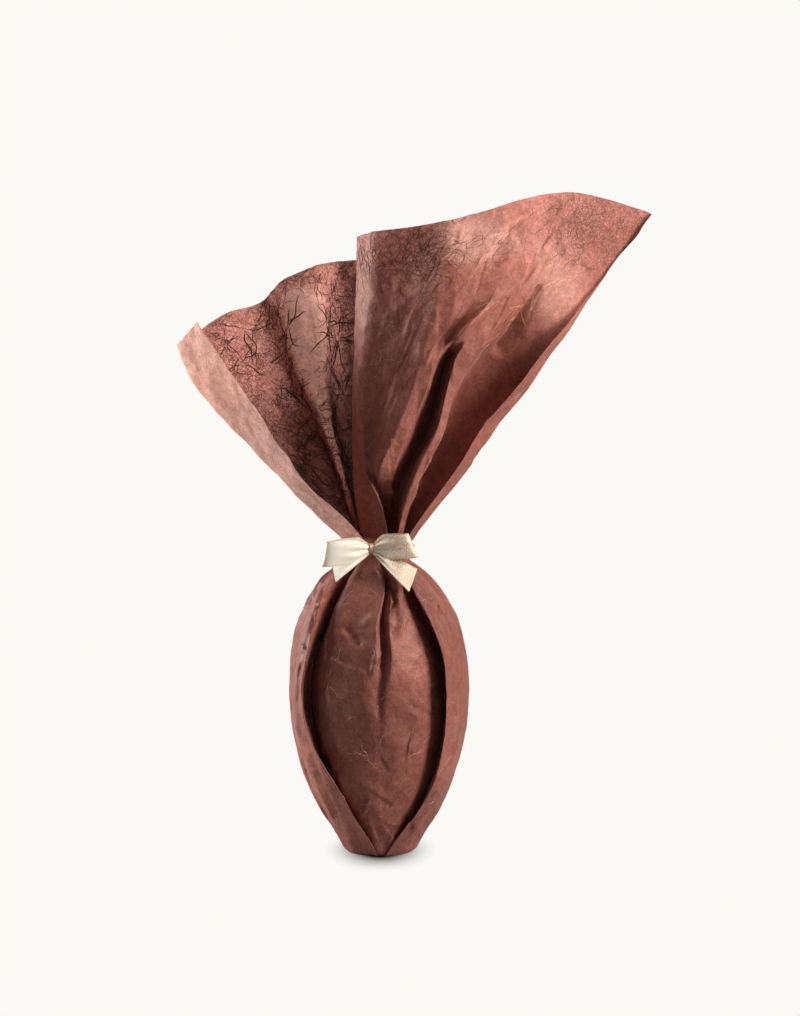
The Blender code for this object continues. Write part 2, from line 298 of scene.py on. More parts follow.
def fibrePaper():
    # thin handmade paper: mottled brown, felted grain, dark fibres that show where light comes through
    material, tree, place = startMaterial("fibrePaper")
    clouds = noise(tree, place, paper["clouds"], 3.0)
    mottle = noise(tree, place, paper["mottle"], 3.0, 0.6)
    grain = noise(tree, place, paper["grain"], 3.0, 0.65)
    fine = times(tree, strands(tree, place, *paper["fineWeb"]), 0.8)
    patches = between(tree, noise(tree, place, paper["webPatches"]), 0.42, 0.60)
    coarse = times(tree, strands(tree, place, *paper["coarseWeb"]), patches)
    web = combine(tree, "MAXIMUM", fine, coarse)
    web = times(tree, web, attribute(tree, "fibres"))
    pale = attribute(tree, "pale")

    rosy = between(tree, clouds, 0.3, 0.7)
    base = blendColour(tree, rosy, opaque(paper["brown"]), opaque(paper["rose"]))
    # the layered colour, which also carries painted shade on the front sheet's panel and, where it is held
    # back, a painted highlight on the egg
    base = blendColour(tree, attribute(tree, "layersAndShade"), base, opaque(paper["layeredAndShade"]))
    # painted sheen: the pale colour where the strips, the ridge and folds near the rim catch the light
    base = blendColour(tree, pale, base, opaque(paper["pale"]))
    spots = between(tree, mottle, 0.25, 0.75, -0.22, 0.22)
    felt = between(tree, grain, 0.25, 0.75, 0.66, 1.34)
    base = shaded(tree, base, plus(tree, spots, felt))
    # the fibre web: real fibres, darkened in the reflected colour as they look against light let through,
    # which is painted shade
    base = blendColour(tree, times(tree, web, 0.75), base, opaque(paper["fibre"]))
    share = attribute(tree, "glow")
    reflected = combine(tree, "SUBTRACT", 1.0, share)
    base = shaded(tree, base, combine(tree, "DIVIDE", 1.0, reflected))  # makes up for the share let through

    height = plus(tree, times(tree, grain, 0.5), times(tree, mottle, 0.7))
    height = plus(tree, height, times(tree, web, 0.4))
    relief = bump(tree, paper["relief"], paper["grainDepth"], height)
    small = times(tree, cells(tree, place, *paper["smallCrumples"]), 0.4)
    facets = plus(tree, cells(tree, place, *paper["crumples"]), small)
    facets = times(tree, facets, between(tree, pale, 0.1, 0.6, 1.0, 0.3))
    relief = bump(tree, 1.0, paper["crumpleDepth"], facets, Normal=relief)
    finish = {
        "Base Color": base, "Roughness": paper["roughness"], "Specular IOR Level": 0.24,
        "Sheen Weight": 0.06, "Sheen Roughness": 0.35, "Normal": relief,
    }
    surface = addNode(tree, "BsdfPrincipled", finish).outputs[0]

    # the light let through is paled too where sheen is painted
    through = blendColour(tree, pale, opaque(paper["glow"]), opaque(paper["pale"]))
    through = shaded(tree, through, between(tree, mottle, 0.2, 0.8, 0.55, 1.25))
    through = blendColour(tree, web, through, opaque(paper["fibre"]))
    glow = addNode(tree, "BsdfTranslucent", {"Color": through, "Normal": relief}).outputs[0]
    return endMaterial(material, addNode(tree, "MixShader", {0: share, 1: surface, 2: glow}))


def satinRibbon():
    # woven satin: fine threads along and across the ribbon, brighter where they catch the light
    material, tree, place = startMaterial("satinRibbon")
    along = addNode(tree, "UVMap", {}, uv_map="ribbon").outputs["UV"]
    split = addNode(tree, "SeparateXYZ", {0: along})
    turns = satin["threadsPerMetre"] * 2 * math.pi
    warp, weft = (combine(tree, "SINE", times(tree, split.outputs[k], turns)) for k in (0, 1))
    weave = times(tree, warp, weft)
    speckle = noise(tree, place, 1700)
    cloud = noise(tree, place, 140)
    share = between(tree, speckle, 0.35, 0.65, 0.0, 0.55)
    share = plus(tree, share, between(tree, cloud, 0.35, 0.65, 0.0, 0.3))
    # painted light: whiter on the left loop, which faces the light, than on the right one; golden again at
    # the far left
    sideways = addNode(tree, "SeparateXYZ", {0: place}).outputs[0]
    golden = between(tree, sideways, -0.018, 0.004, 0.1, 1.3)
    golden = plus(tree, golden, between(tree, sideways, -0.0235, -0.027))
    share = times(tree, share, golden)
    half = 0.5 * satin["ribbonWidth"] * mm
    offCentre = combine(tree, "ABSOLUTE", combine(tree, "SUBTRACT", split.outputs[1], half))
    edge = between(tree, offCentre, half - satin["darkEdge"] * mm, half, 0.0, 0.6)
    share = plus(tree, share, edge)
    colour = blendColour(tree, share, opaque(satin["thread"]), opaque(satin["shade"]))
    height = plus(tree, between(tree, weave, -1.0, 1.0), speckle)
    finish = {
        "Base Color": colour, "Roughness": 0.36, "Metallic": 0.15, "Sheen Weight": 0.2,
        "Sheen Roughness": 0.3, "Normal": bump(tree, 0.35, 0.00012, height),
    }
    return endMaterial(material, addNode(tree, "BsdfPrincipled", finish))


def goldWire():
    # drawn wire, duller in patches, with fine streaks
    material, tree, place = startMaterial("goldWire")
    worn = between(tree, noise(tree, place, 500, 3.0), 0.4, 0.7)
    finish = {
        "Base Color": blendColour(tree, worn, opaque(wire["gold"]), opaque(wire["dull"])),
        "Roughness": between(tree, worn, 0.0, 1.0, 0.28, 0.5), "Metallic": 0.85,
        "Normal": bump(tree, 0.3, 0.0001, noise(tree, place, 3000)),
    }
    return endMaterial(material, addNode(tree, "BsdfPrincipled", finish))


def plantHair(kind):
    # a plant fibre, lighter and darker along its length
    material, tree, place = startMaterial(kind + "Hair")
    colour, roughness = hairs[kind]
    base = shaded(tree, opaque(colour), between(tree, noise(tree, place, 400, 3.0), 0.3, 0.7, 0.6, 1.4))
    finish = {"Base Color": base, "Roughness": roughness}
    return endMaterial(material, addNode(tree, "BsdfPrincipled", finish))


fibrePaperLook = fibrePaper()
satinRibbonLook = satinRibbon()
goldWireLook = goldWire()
hairLooks = {kind: plantHair(kind) for kind in hairs}
print("scene: materials")


# Shapes as grids of points

def smoothThrough(stations, values, at):
    # a cubic through the values at the stations, each slope taken from its two neighbours
    stations, values = np.asarray(stations, float), np.asarray(values, float)
    slopes = np.gradient(values, stations)
    k = np.clip(np.searchsorted(stations, at) - 1, 0, len(stations) - 2)
    step = stations[k + 1] - stations[k]
    t = (at - stations[k]) / step
    return (
        (2 * t**3 - 3 * t**2 + 1) * values[k]
        + (t**3 - 2 * t**2 + t) * step * slopes[k]
        + (3 * t**2 - 2 * t**3) * values[k + 1]
        + (t**3 - t**2) * step * slopes[k + 1]
    )


def smoothStep(value):
    # 0 below 0, 1 above 1, and 3t^2 - 2t^3 between
    t = np.clip(value, 0, 1)
    return t * t * (3 - 2 * t)


def foldWeights(roundness, closed, cornerSteps, flatSteps):
    # rows of weights that turn fold points into a section. A corner is the curve from (1-c)P + c*before
    # to (1-c)P + c*after with P as its handle, c the roundness; between two corners the paper is flat.
    count = len(roundness)
    t = np.linspace(0, 1, cornerSteps)
    s = np.linspace(0, 1, flatSteps + 2)[1:-1]
    blocks = []
    for k in range(count):
        after = (k + 1) % count
        if closed or 0 < k < count - 1:
            corner = np.zeros((cornerSteps, count))
            c = roundness[k]
            corner[:, (k - 1) % count] += c * (1 - t) ** 2
            corner[:, k] += (1 - c) * ((1 - t) ** 2 + t**2) + 2 * t * (1 - t)
            corner[:, after] += c * t**2
        else:
            corner = np.zeros((1, count))
            corner[0, k] = 1
        blocks.append(corner)
        if closed or k < count - 1:
            here = roundness[k] if closed or k > 0 else 0
            there = roundness[after] if closed or after < count - 1 else 0
            flat = np.zeros((flatSteps, count))
            flat[:, k] += (1 - s) * (1 - here) + s * there
            flat[:, after] += (1 - s) * here + s * (1 - there)
            blocks.append(flat)
    return np.concatenate(blocks)


def gridNormals(points, closed=False):
    # the cross product of the two grid directions, as unit arrows
    if closed:
        across = np.roll(points, -1, axis=1) - np.roll(points, 1, axis=1)
    else:
        across = np.gradient(points, axis=1)
    normals = np.cross(across, np.gradient(points, axis=0))
    return normals / np.maximum(np.linalg.norm(normals, axis=-1, keepdims=True), 1e-9)


def zigzag(value):
    # a wave of straight lines: 0 at whole numbers, 1 halfway between them
    return np.abs(2 * (value - np.floor(value + 0.5)))


def crumple(points, wavelength, seed):
    # facets between crisp creases: the highest of three crossed zigzags less the highest of three more
    draw = np.random.default_rng(seed)
    total = 0
    for sign in (1, -1):
        waves = []
        for _ in range(3):
            direction = draw.normal(size=3)
            direction /= np.linalg.norm(direction)
            length = wavelength * draw.uniform(0.75, 1.4)
            waves.append(zigzag(points @ direction / length + draw.uniform()))
        total = total + sign * np.max(waves, axis=0)
    return total


def wander(points, wavelength, seed):
    # a smooth drift, mostly between -1 and 1: the sum of four crossed waves over 2.5
    draw = np.random.default_rng(seed)
    total = 0
    for _ in range(4):
        direction = draw.normal(size=3)
        direction *= 2 * math.pi / (wavelength * np.linalg.norm(direction))
        total = total + np.sin(points @ direction + draw.uniform(0, 6.28))
    return total / 2.5


def crumpled(points, size, wavelength, seed, drift, loose, closed=False):
    # the grid with facets along its normals; their creases wander by a drift of a reach, length and seed
    reach, length, first = drift
    warped = points + reach * np.stack([wander(points, length, first + a) for a in range(3)], axis=-1)
    relief = size * crumple(warped, wavelength, seed)
    return points + gridNormals(points, closed) * (relief * loose)[..., None]


def crease(points, stroke):
    # a ridge (height > 0) or groove along a line drawn in the front view: full on the line, falling
    # straight to nothing over one width on its left and another on its right, and fading at both ends
    line, height, leftWidth, rightWidth, fade = stroke
    line = np.array(line, float)
    flat = points[..., [0, 2]]
    spans = np.linalg.norm(np.diff(line, axis=0), axis=1)
    whole = spans.sum()
    best = np.zeros(flat.shape[:-1])
    done = 0.0
    for start, end, span in zip(line[:-1], line[1:], spans):
        run = (end - start) / span
        offset = flat - start
        t = np.clip(offset @ run, 0, span)
        away = np.linalg.norm(offset - t[..., None] * run, axis=-1)
        side = run[0] * offset[..., 1] - run[1] * offset[..., 0]
        width = np.where(side > 0, leftWidth, rightWidth)
        s = (done + t) / whole
        ends = smoothStep(np.minimum(s, 1 - s) / fade) if fade > 0 else 1.0
        best = np.maximum(best, np.clip(1 - away / width, 0, 1) * ends)
        done += span
    return height * best


def pressIn(points, strokes, closed=False, where=1.0):
    # all creases of a piece, along its normals
    relief = np.zeros(points.shape[:-1])
    for stroke in strokes:
        relief += crease(points, stroke)
    return points + gridNormals(points, closed) * (relief * where)[..., None]


def randomCreases(points, group, seed):
    # straight creases at places of the grid, mostly running away from the neck: each stands up sharply on
    # one side and slopes off on the other
    draw = np.random.default_rng(seed)
    count, lengths, heights, spread = group
    flat = points.reshape(-1, 3)
    strokes = []
    for k in draw.integers(0, len(flat), count):
        x, _, z = flat[k]
        away = math.atan2(z - 156, x + 2)
        angle = away + math.radians(draw.normal(0, spread))
        reach = 0.5 * draw.uniform(*lengths)
        dx, dz = reach * math.cos(angle), reach * math.sin(angle)
        bend = draw.normal(0, 0.06)
        line = ((x - dx, z - dz), (x - dz * bend, z + dx * bend), (x + dx, z + dz))
        widths = (draw.uniform(0.7, 1.2), draw.uniform(2.5, 6))
        left, right = widths if draw.uniform() < 0.5 else widths[::-1]
        height = draw.uniform(*heights) * draw.choice((-1, 1))
        strokes.append((line, height, left, right, 0.3))
    return strokes


def gridFaces(rows, columns, closed=False):
    # quads of a grid in order; the columns may close into a ring
    k = np.arange(rows * columns).reshape(rows, columns)
    if closed:
        k = np.concatenate([k, k[:, :1]], axis=1)
    quads = np.stack([k[:-1, :-1], k[:-1, 1:], k[1:, 1:], k[1:, :-1]], axis=-1)
    return quads.reshape(-1, 4).tolist()


def makePiece(name, points, faces, look, slotName, fields=None):
    # a mesh at the origin, in metres, smooth, riding on the one body
    mesh = bpy.data.meshes.new(name)
    mesh.from_pydata((points.reshape(-1, 3) * mm).tolist(), [], faces)
    mesh.shade_smooth()
    mesh.materials.append(look)
    for field, values in (fields or {}).items():
        layer = mesh.attributes.new(field, "FLOAT", "POINT")
        layer.data.foreach_set("value", np.ascontiguousarray(values, np.float32).ravel())
    piece = bpy.data.objects.new(name, mesh)
    scene.collection.objects.link(piece)
    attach(piece, "root")
    return piece


# The wrapped egg

egg = {
    "bellyRadius": 44.8,
    "bellyHeight": 84.5,
    "crownRise": 66.0,
    "crownPower": 2.25,
    "footDrop": 82.5,
    "footPower": 1.93,
    "baseRadius": 17.0,
    "baseSlope": 0.5,
    "baseBend": 0.004,
    "baseBlend": 2.0,
    "neckRadius": 15.6,
    "neckHeight": 157.0,
    "neckShift": -2.0,
    "neckBlend": 3.0,
    "rows": 270,
    "cornerSteps": 5,
    "flatSteps": 6,
    "tuckIn": (0.07, 2.2),  # the share by which the base draws in, and up to which height
    "underRings": (0.3, 0.65),  # the closed underside, as shares of the base
    "topRings": ((0.82, 2.5), (0.55, 5.0), (0.3, 7.0)),  # shares of the neck, and their rise over it
    "topRise": 7.5,
    "stillEnds": (12, 14),  # the crumples start and end over these heights
    "heights": (0, 15, 35, 60, 85, 105, 122, 138, 157),
    "softBelow": (86.0, 110.0),  # between these heights the lower roundness gives way to the upper
    "crumple": (0.8, 24.0),  # height and size of the facets
    "creases": (60, (8, 34), (0.35, 1.0), 30),  # how many, lengths, heights, spread of their directions
}

# Folds from the back round the left side to the front and on round the right side: angle from the
# front at each height, stand-off from the egg at each height, roundness below and above the belly
# (0.1 crisp, 0.45 soft).
eggFolds = {
    "leftFlank": ((-98, -98, -98, -97, -97, -96, -98, -100, -104),
                  (0, 1, 1.5, 1.2, 0.7, 0.6, 0.5, 0.5, 0.4), 0.40, 0.40),
    "leftGroove": ((-84, -86, -88, -88, -88, -86, -88, -90, -94),
                   (0, 1.1, 1.4, 1.0, 0.6, 0.4, -0.5, -2.5, -3), 0.28, 0.28),
    "leftOuterEdge": ((-74, -76, -78, -78, -78, -77, -77, -80, -84),
                      (0, 1.1, 1.5, 1.2, 0.9, 1.2, 1.6, 1.8, 1), 0.14, 0.14),
    "leftDent": ((-60, -64, -68, -72, -74, -70, -69, -71, -74),
                 (0.2, 0.3, 0.6, 0.9, 1, 1, 0.3, -1.8, -3), 0.35, 0.30),
    "leftCheek": ((-44, -50, -56, -64, -66, -61, -60, -61, -62),
                  (0.3, 0.5, 1, 1.6, 2, 2.2, 2.6, 2.6, 1.5), 0.40, 0.30),
    "leftEdge": ((-2, -18, -30, -47, -53, -48, -47, -49, -52),
                 (0.5, 1.2, 2, 2.8, 3.4, 3.8, 4.0, 3.6, 2), 0.08, 0.08),
    "leftPocket": ((-16, -40, -58, -70, -74, -70, -62, -58, -56),
                   (-1, -3.5, -6.5, -8, -8.5, -10, -13, -12, -7), 0.22, 0.12),
    "leftPanel": ((-6, -20, -33, -48, -46, -45, -42, -37, -36),
                  (-0.8, -2.2, -4, -5, -5.4, -5.2, -3.6, -1.4, -1), 0.16, 0.12),
    "panelRidge": ((-1, -15, -25, -36, -36, -36, -35, -30, -28),
                   (-0.6, -2, -3.4, -4, -4, -3.2, -1.8, 0, 0), 0.45, 0.25),
    "middleLeft": ((2, -7, -12, -15, -16, -15, -16, -14, -17),
                   (-0.6, -2, -3.2, -3.8, -4, -3.8, -3.4, -1.5, 0), 0.45, 0.40),
    "middleEdge": ((2, 0, -1, -5, -5, -1, -0.5, 7, 2),
                   (-0.5, -2, -3, -4.2, -4.0, -2.2, -0.2, 1.2, 1), 0.45, 0.08),
    "middleGroove": ((5, 4, 3, 0, 0.5, 5.5, 3.5, 10, 9),
                     (-0.6, -2.1, -3.2, -4.4, -6.6, -10.0, -9.0, -6.4, -4.5), 0.45, 0.14),
    "middleRight": ((8, 8, 7, 5, 4.5, 8, 8, 14, 16),
                    (-0.5, -2, -3, -4.0, -3.0, -1.0, -1.2, -1.4, -0.6), 0.45, 0.12),
    "rightCrease": ((9, 11, 13, 15, 17, 18, 17, 20, 24),
                    (-0.5, -2, -3, -3.6, -3.8, -3, -1.4, 0.2, 0.4), 0.45, 0.12),
    "rightMiddle": ((10, 18, 25, 29, 31, 30, 24, 24, 28),
                    (-0.6, -2, -3.2, -4, -4, -3.8, -3, -1.6, -1), 0.42, 0.30),
    "rightPanel": ((11, 25, 33, 39, 44, 42, 31, 28, 33),
                   (-0.8, -2.2, -4, -5, -5.4, -5.2, -4.6, -3.4, -2), 0.25, 0.20),
    "rightPocket": ((16, 44, 58, 66, 69, 66, 56, 50, 52),
                    (-1, -3.5, -6.5, -8, -8.5, -9, -9, -7.5, -4.5), 0.22, 0.22),
    "rightEdge": ((7, 27, 40, 43, 42, 41, 36, 32, 44),
                  (0.5, 1.2, 2.2, 3, 3.8, 4.2, 4.8, 4, 1), 0.08, 0.08),
    "rightCheek": ((36, 50, 60, 64, 62, 58, 50, 46, 58),
                   (0.3, 0.5, 0.8, 1.1, 1.2, 1.6, 2.2, 2, 0.8), 0.42, 0.42),
    "rightShoulder": ((66, 72, 78, 79, 78, 72, 64, 60, 69),
                      (0, 1.2, 0.4, 0.2, 0.3, 0.6, 1, 1, 1), 0.30, 0.30),
    "rightTuck": ((82, 86, 90, 89, 88, 82, 76, 72, 80),
                  (0, 1.4, 0.4, 0, 0, -1, -2.6, -3, -3), 0.20, 0.20),
    "rightFlank": ((98, 98, 99, 98, 98, 94, 90, 88, 92),
                   (0, 1.4, 0.4, 0, 0, 0.3, 0.8, 0.9, 0.8), 0.40, 0.40),
}

backGathers = {
    "count": 9,
    "start": 112.0,
    "outward": (0, 0, 0, 0, 0.1, 0.4, 0.7, 1.0, 1.2),
    "inward": (0, 0, 0, 0, -0.2, -0.6, -1.2, -2.2, -3.0),
    "roundness": 0.42,
}

# Creases of the egg, each drawn in the front view (sideways, height): line, height, width on the left
# and on the right of its direction, and the share of its length over which it fades at each end.
eggCreases = (
    (((-19.5, 119), (-14, 114), (-8.5, 108)), -2, 5.5, 2.2, 0.25),
    (((-10, 118), (-1, 126)), 0.9, 2.5, 2.5, 0.3),
    (((1, 108.5), (-1.5, 103), (-3.5, 94)), 1.3, 1.0, 2.6, 0.25),
    (((10, 142), (10.5, 129), (11.5, 122), (9.5, 113)), 1.4, 0.8, 3.2, 0.2),
    (((4, 138), (7.5, 131), (3.5, 125)), -1.8, 1.6, 1.6, 0.3),
    (((22, 134), (26.5, 129)), -2.2, 1.4, 0.6, 0.3),
    (((28.5, 129.5), (29.5, 120)), -1.4, 1.2, 0.6, 0.3),
    (((23.5, 125.5), (25.5, 120.5)), -1.6, 1.2, 1.2, 0.3),
    (((-36, 108), (-38, 106.5)), -1.8, 1.6, 1.6, 0.4),
    (((-33.5, 53), (-24.5, 27.5), (-17, 11.5)), -0.6, 1.8, 0.8, 0.2),
    (((-35.5, 43), (-26.5, 30), (-21, 14)), -0.6, 1.8, 0.8, 0.2),
    (((-21, 46), (-17.5, 33.5), (-17.5, 31)), 0.9, 2.5, 0.9, 0.2),
    (((-28.5, 111), (-29.5, 108), (-34, 104)), 1.3, 1.6, 1.6, 0.3),
    (((2.5, 125), (8, 118), (12, 109)), 0.6, 3.0, 3.0, 0.3),
    (((14, 96), (22, 88), (30, 92)), 0.6, 3.5, 2.0, 0.3),
    (((-33, 122), (-39, 103), (-41.5, 80), (-39.5, 56)), 1.1, 1.0, 3.2, 0.15),
    (((-36.5, 112), (-44, 92), (-45, 70), (-41, 48)), -0.9, 2.5, 0.9, 0.15),
    (((-38, 60), (-31, 36), (-21, 15)), 0.9, 2.6, 0.9, 0.15),
    (((-42, 58), (-35, 34), (-25, 14)), -0.8, 2.6, 0.9, 0.15),
    (((25, 131), (32, 114), (37.5, 92), (37, 66)), 1.0, 3.0, 1.0, 0.15),
    (((31, 118), (40, 92), (40.5, 70), (34, 44)), -0.9, 0.9, 2.8, 0.15),
    (((33, 46), (25, 24), (14, 9)), 0.9, 0.9, 2.6, 0.15),
    (((38, 60), (31, 36), (21, 14)), -0.8, 1.0, 2.6, 0.15),
    (((-27, 138), (-31.5, 127), (-35.5, 112)), 1.4, 1.0, 2.2, 0.2),
)


def smoothMax(a, b, softness):
    # the larger of a and b, rounded over: half of a + b + sqrt((a - b)^2 + softness^2)
    return 0.5 * (a + b + np.sqrt((a - b) ** 2 + softness**2))


def eggRadius(z):
    # two half ovals that meet at the belly, a flare up from the base, and the neck
    crown = np.clip((z - egg["bellyHeight"]) / egg["crownRise"], 0, 1)
    foot = np.clip((egg["bellyHeight"] - z) / egg["footDrop"], 0, 1)
    rest = np.clip(1 - crown ** egg["crownPower"] - foot ** egg["footPower"], 0, 1)
    oval = egg["bellyRadius"] * np.sqrt(rest)
    flare = egg["baseRadius"] + (egg["baseSlope"] - egg["baseBend"] * z) * z
    return smoothMax(smoothMax(oval, flare, egg["baseBlend"]), egg["neckRadius"], egg["neckBlend"])


def allEggFolds():
    # the named folds of the front and sides, then the gathers behind from right to left
    folds = list(eggFolds.values())
    start, count, roundness = backGathers["start"], backGathers["count"], backGathers["roundness"]
    step = (360 - 2 * start) / (count - 1)
    for i in range(count):
        angles = (start + i * step,) * len(egg["heights"])
        standOff = backGathers["inward" if i % 2 == 0 else "outward"]
        folds.append((angles, standOff, roundness, roundness))
    return folds


def eggSkin(z):
    # fold points at the angle from the front and the egg's radius plus stand-off, made into a section
    folds = allEggFolds()
    centre = egg["neckShift"] * (z / egg["neckHeight"]) ** 4
    points = []
    for angles, standOff, _, _ in folds:
        angle = np.radians(smoothThrough(egg["heights"], angles, z))
        radius = eggRadius(z) + smoothThrough(egg["heights"], standOff, z)
        points.append(np.stack([radius * np.sin(angle) + centre, -radius * np.cos(angle), z], axis=-1))
    points = np.stack(points, axis=1)
    sections = []
    for k in (2, 3):
        weights = foldWeights([fold[k] for fold in folds], True, egg["cornerSteps"], egg["flatSteps"])
        sections.append(np.einsum("mk,nkc->nmc", weights, points))
    start, end = egg["softBelow"]
    share = smoothStep((z - start) / (end - start))[:, None, None]
    return (1 - share) * sections[0] + share * sections[1]


def bump2d(points, x, z, reachX, reachZ):
    # an oval patch in the front view: 1 in its middle third, nothing past 1.3 of its reach
    away = ((points[..., 0] - x) / reachX) ** 2 + ((points[..., 2] - z) / reachZ) ** 2
    return smoothStep(1.3 - np.sqrt(away))


def closedBody(rows):
    # the points and faces of a closed skin, with a pole under its first row and one over its last
    count, columns = rows.shape[:2]
    poles = np.array([[0, 0, 0], [egg["neckShift"], 0, egg["neckHeight"] + egg["topRise"]]])
    ring = np.arange(columns)
    following = np.roll(ring, -1)
    low, high, last = count * columns, count * columns + 1, (count - 1) * columns
    faces = gridFaces(count, columns, True)
    faces += np.stack([following, ring, np.full(columns, low)], axis=-1).tolist()
    faces += np.stack([last + ring, last + following, np.full(columns, high)], axis=-1).tolist()
    return np.concatenate([rows.reshape(-1, 3), poles]), faces


def makeEgg():
    z = np.linspace(0, egg["neckHeight"], egg["rows"])
    lowEnd, highEnd = egg["stillEnds"]
    loose = smoothStep(z / lowEnd)[:, None] * smoothStep((egg["neckHeight"] - z) / highEnd)[:, None]
    skin = crumpled(eggSkin(z), *egg["crumple"], 11, (2.5, 60, 5), loose, True)
    skin = pressIn(skin, eggCreases, True, smoothStep(-skin[..., 1] / 8))
    for side in (-1, 1):
        facing = np.clip(side * gridNormals(skin, True)[..., 1], 0, 1)
        strokes = randomCreases(skin, egg["creases"], 60 + side)
        skin = pressIn(skin, strokes, True, smoothStep(2 * facing - 0.6) * loose)
    inward, upTo = egg["tuckIn"]
    skin[..., :2] *= (1 - inward * (1 - smoothStep(z / upTo)) ** 2)[:, None, None]
    skin[..., 2] = np.maximum(skin[..., 2], 0)
    under = [skin[0] * (share, share, 0) for share in egg["underRings"]]
    top = np.array([egg["neckShift"], 0, 0])
    inner = []
    for share, rise in egg["topRings"]:
        ring = (skin[-1] - top) * (share, share, 1) + top
        ring[:, 2] = egg["neckHeight"] + rise
        inner.append(ring)
    rows = np.concatenate([np.stack(under), skin, np.stack(inner)])
    points, faces = closedBody(rows)
    # a painted highlight, a lighter patch on the front right where the light falls, and lighter flanks
    paintedHighlight = bump2d(points, 14, 102, 15, 24) * smoothStep(-points[..., 1] / 10)
    beside = smoothStep((np.abs(points[:, 0]) / eggRadius(points[:, 2]) - 0.68) / 0.1)
    fields = {
        "fibres": np.clip(0.12 + 0.10 * wander(points, 40, 21), 0, 1),
        "glow": np.zeros(len(points)),
        "layersAndShade": np.clip(0.5 + 0.15 * wander(points, 55, 22) - 0.5 * paintedHighlight - 0.3 * beside, 0, 1),
    }
    piece = makePiece("eggWrap", points, faces, fibrePaperLook, "fibre_paper", fields)
    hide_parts("paper_wrap")
    return rows


eggGrid = makeEgg()
print("scene: wrapped egg")


# The two sheets above the neck

# Each fold is a line up a sheet: sideways place at each height, depth at each height (minus is forward),
# then the rim point (sideways, depth, height) and the roundness.
frontSheet = {
    "foot": 152.0,
    "heights": (152, 175, 195, 214, 236, 250, 257, 284),
    "rows": 290,
    "cornerSteps": 10,
    "flatSteps": 16,
    "turnBack": (0.24, 25.0),  # the sheet turns back by this share of its run past this sideways place
    "folds": {
        "innerHem": ((-6.5, 1, 8.5, 16, 25, 30.5, 33, 43.5),
                     (3, 4.5, 5.5, 6, 4.5, 2.5, 1.6, -3), (45, -4, 288), 0),
        "innerTurn": ((-10.5, -7, -3.5, 0, 3.5, 5.5, 6.5, 11.5),
                      (1, 2, 3, 3.5, 4, 3.5, 3, 0.5), (14, -2, 298), 0.40),
        "leftTurn": ((-7, -12.5, -15, -15, -14.5, -14, -14, -13.5),
                     (-9, -6, -6, -5, -4, -4, -4, -4), (-13.5, -6, 308), 0.30),
        "stripEdge": ((5, 2, -7.5, -10.5, -11, -9, -8, -4.5),
                      (-15, -22, -17, -14, -14, -16, -17, -19), (-3.5, -20, 311.5), 0.12),
        "panelMiddle": ((3, 1, -4, 0, 4, 5, 6, 10.5),
                        (-8, -5, -17, -19.5, -20.5, -22.5, -23.5, -28), (14, -29, 313.5), 0.30),
        "ridgeLeft": ((4, 3, 0, 8, 16, 20, 22.5, 29),
                      (-8, -4, -25, -29, -31, -33, -34, -36.5), (36, -36.5, 317.5), 0.10),
        "ridgeRight": ((6, 5, 8, 15, 24, 28.5, 32, 48),
                       (-8, -4, -24, -28, -31, -33.5, -34.5, -37), (54, -37, 322.5), 0.08),
        "firstValley": ((7, 7, 13, 22.5, 30, 33, 36, 57),
                        (-6, -3, -3, -3, -4, -8, -33, -38.5), (66, -36, 326.5), 0.10),
        "secondLeft": ((7, 11.5, 18.5, 27.5, 33, 36.5, 40.5, 64.5),
                       (-14, -23, -27, -30, -32, -34, -35, -36.5), (78, -34, 329.5), 0.08),
        "secondRight": ((8.5, 14.5, 21.5, 31, 38, 45.5, 50.5, 69),
                        (-14, -22, -26, -28.5, -30, -32, -33, -35), (90, -31, 330.7), 0.08),
        "floorLeft": ((9, 16, 23, 32.5, 41, 51.5, 57.5, 77),
                      (-7, -5, -3, -2, -2, -5, -9, -31), (98, -28, 330.3), 0.18),
        "floorRight": ((10, 20, 31, 43, 57, 66, 70, 80),
                       (-6, -5, -4, -4, -6, -9, -12, -31), (112, -23, 327), 0.25),
        "rightTurn": ((12, 29, 45, 58.5, 75, 84.5, 89.5, 106.5),
                      (-7, -12, -14, -16, -18, -17.5, -17, -15), (132.5, -14, 320.5), 0.18),
        "rightHem": ((9, 23, 38, 50, 66.5, 77, 83, 105.5),
                     (-12, -20, -23, -26, -29, -29, -28, -19), (132, -15, 320), 0),
    },
    "crumple": (1.3, 30.0),
    "smoothEdge": 0.27,  # the share of the section from its left edge that has few creases
    "creases": (60, (12, 50), (0.3, 0.8), 14),
}

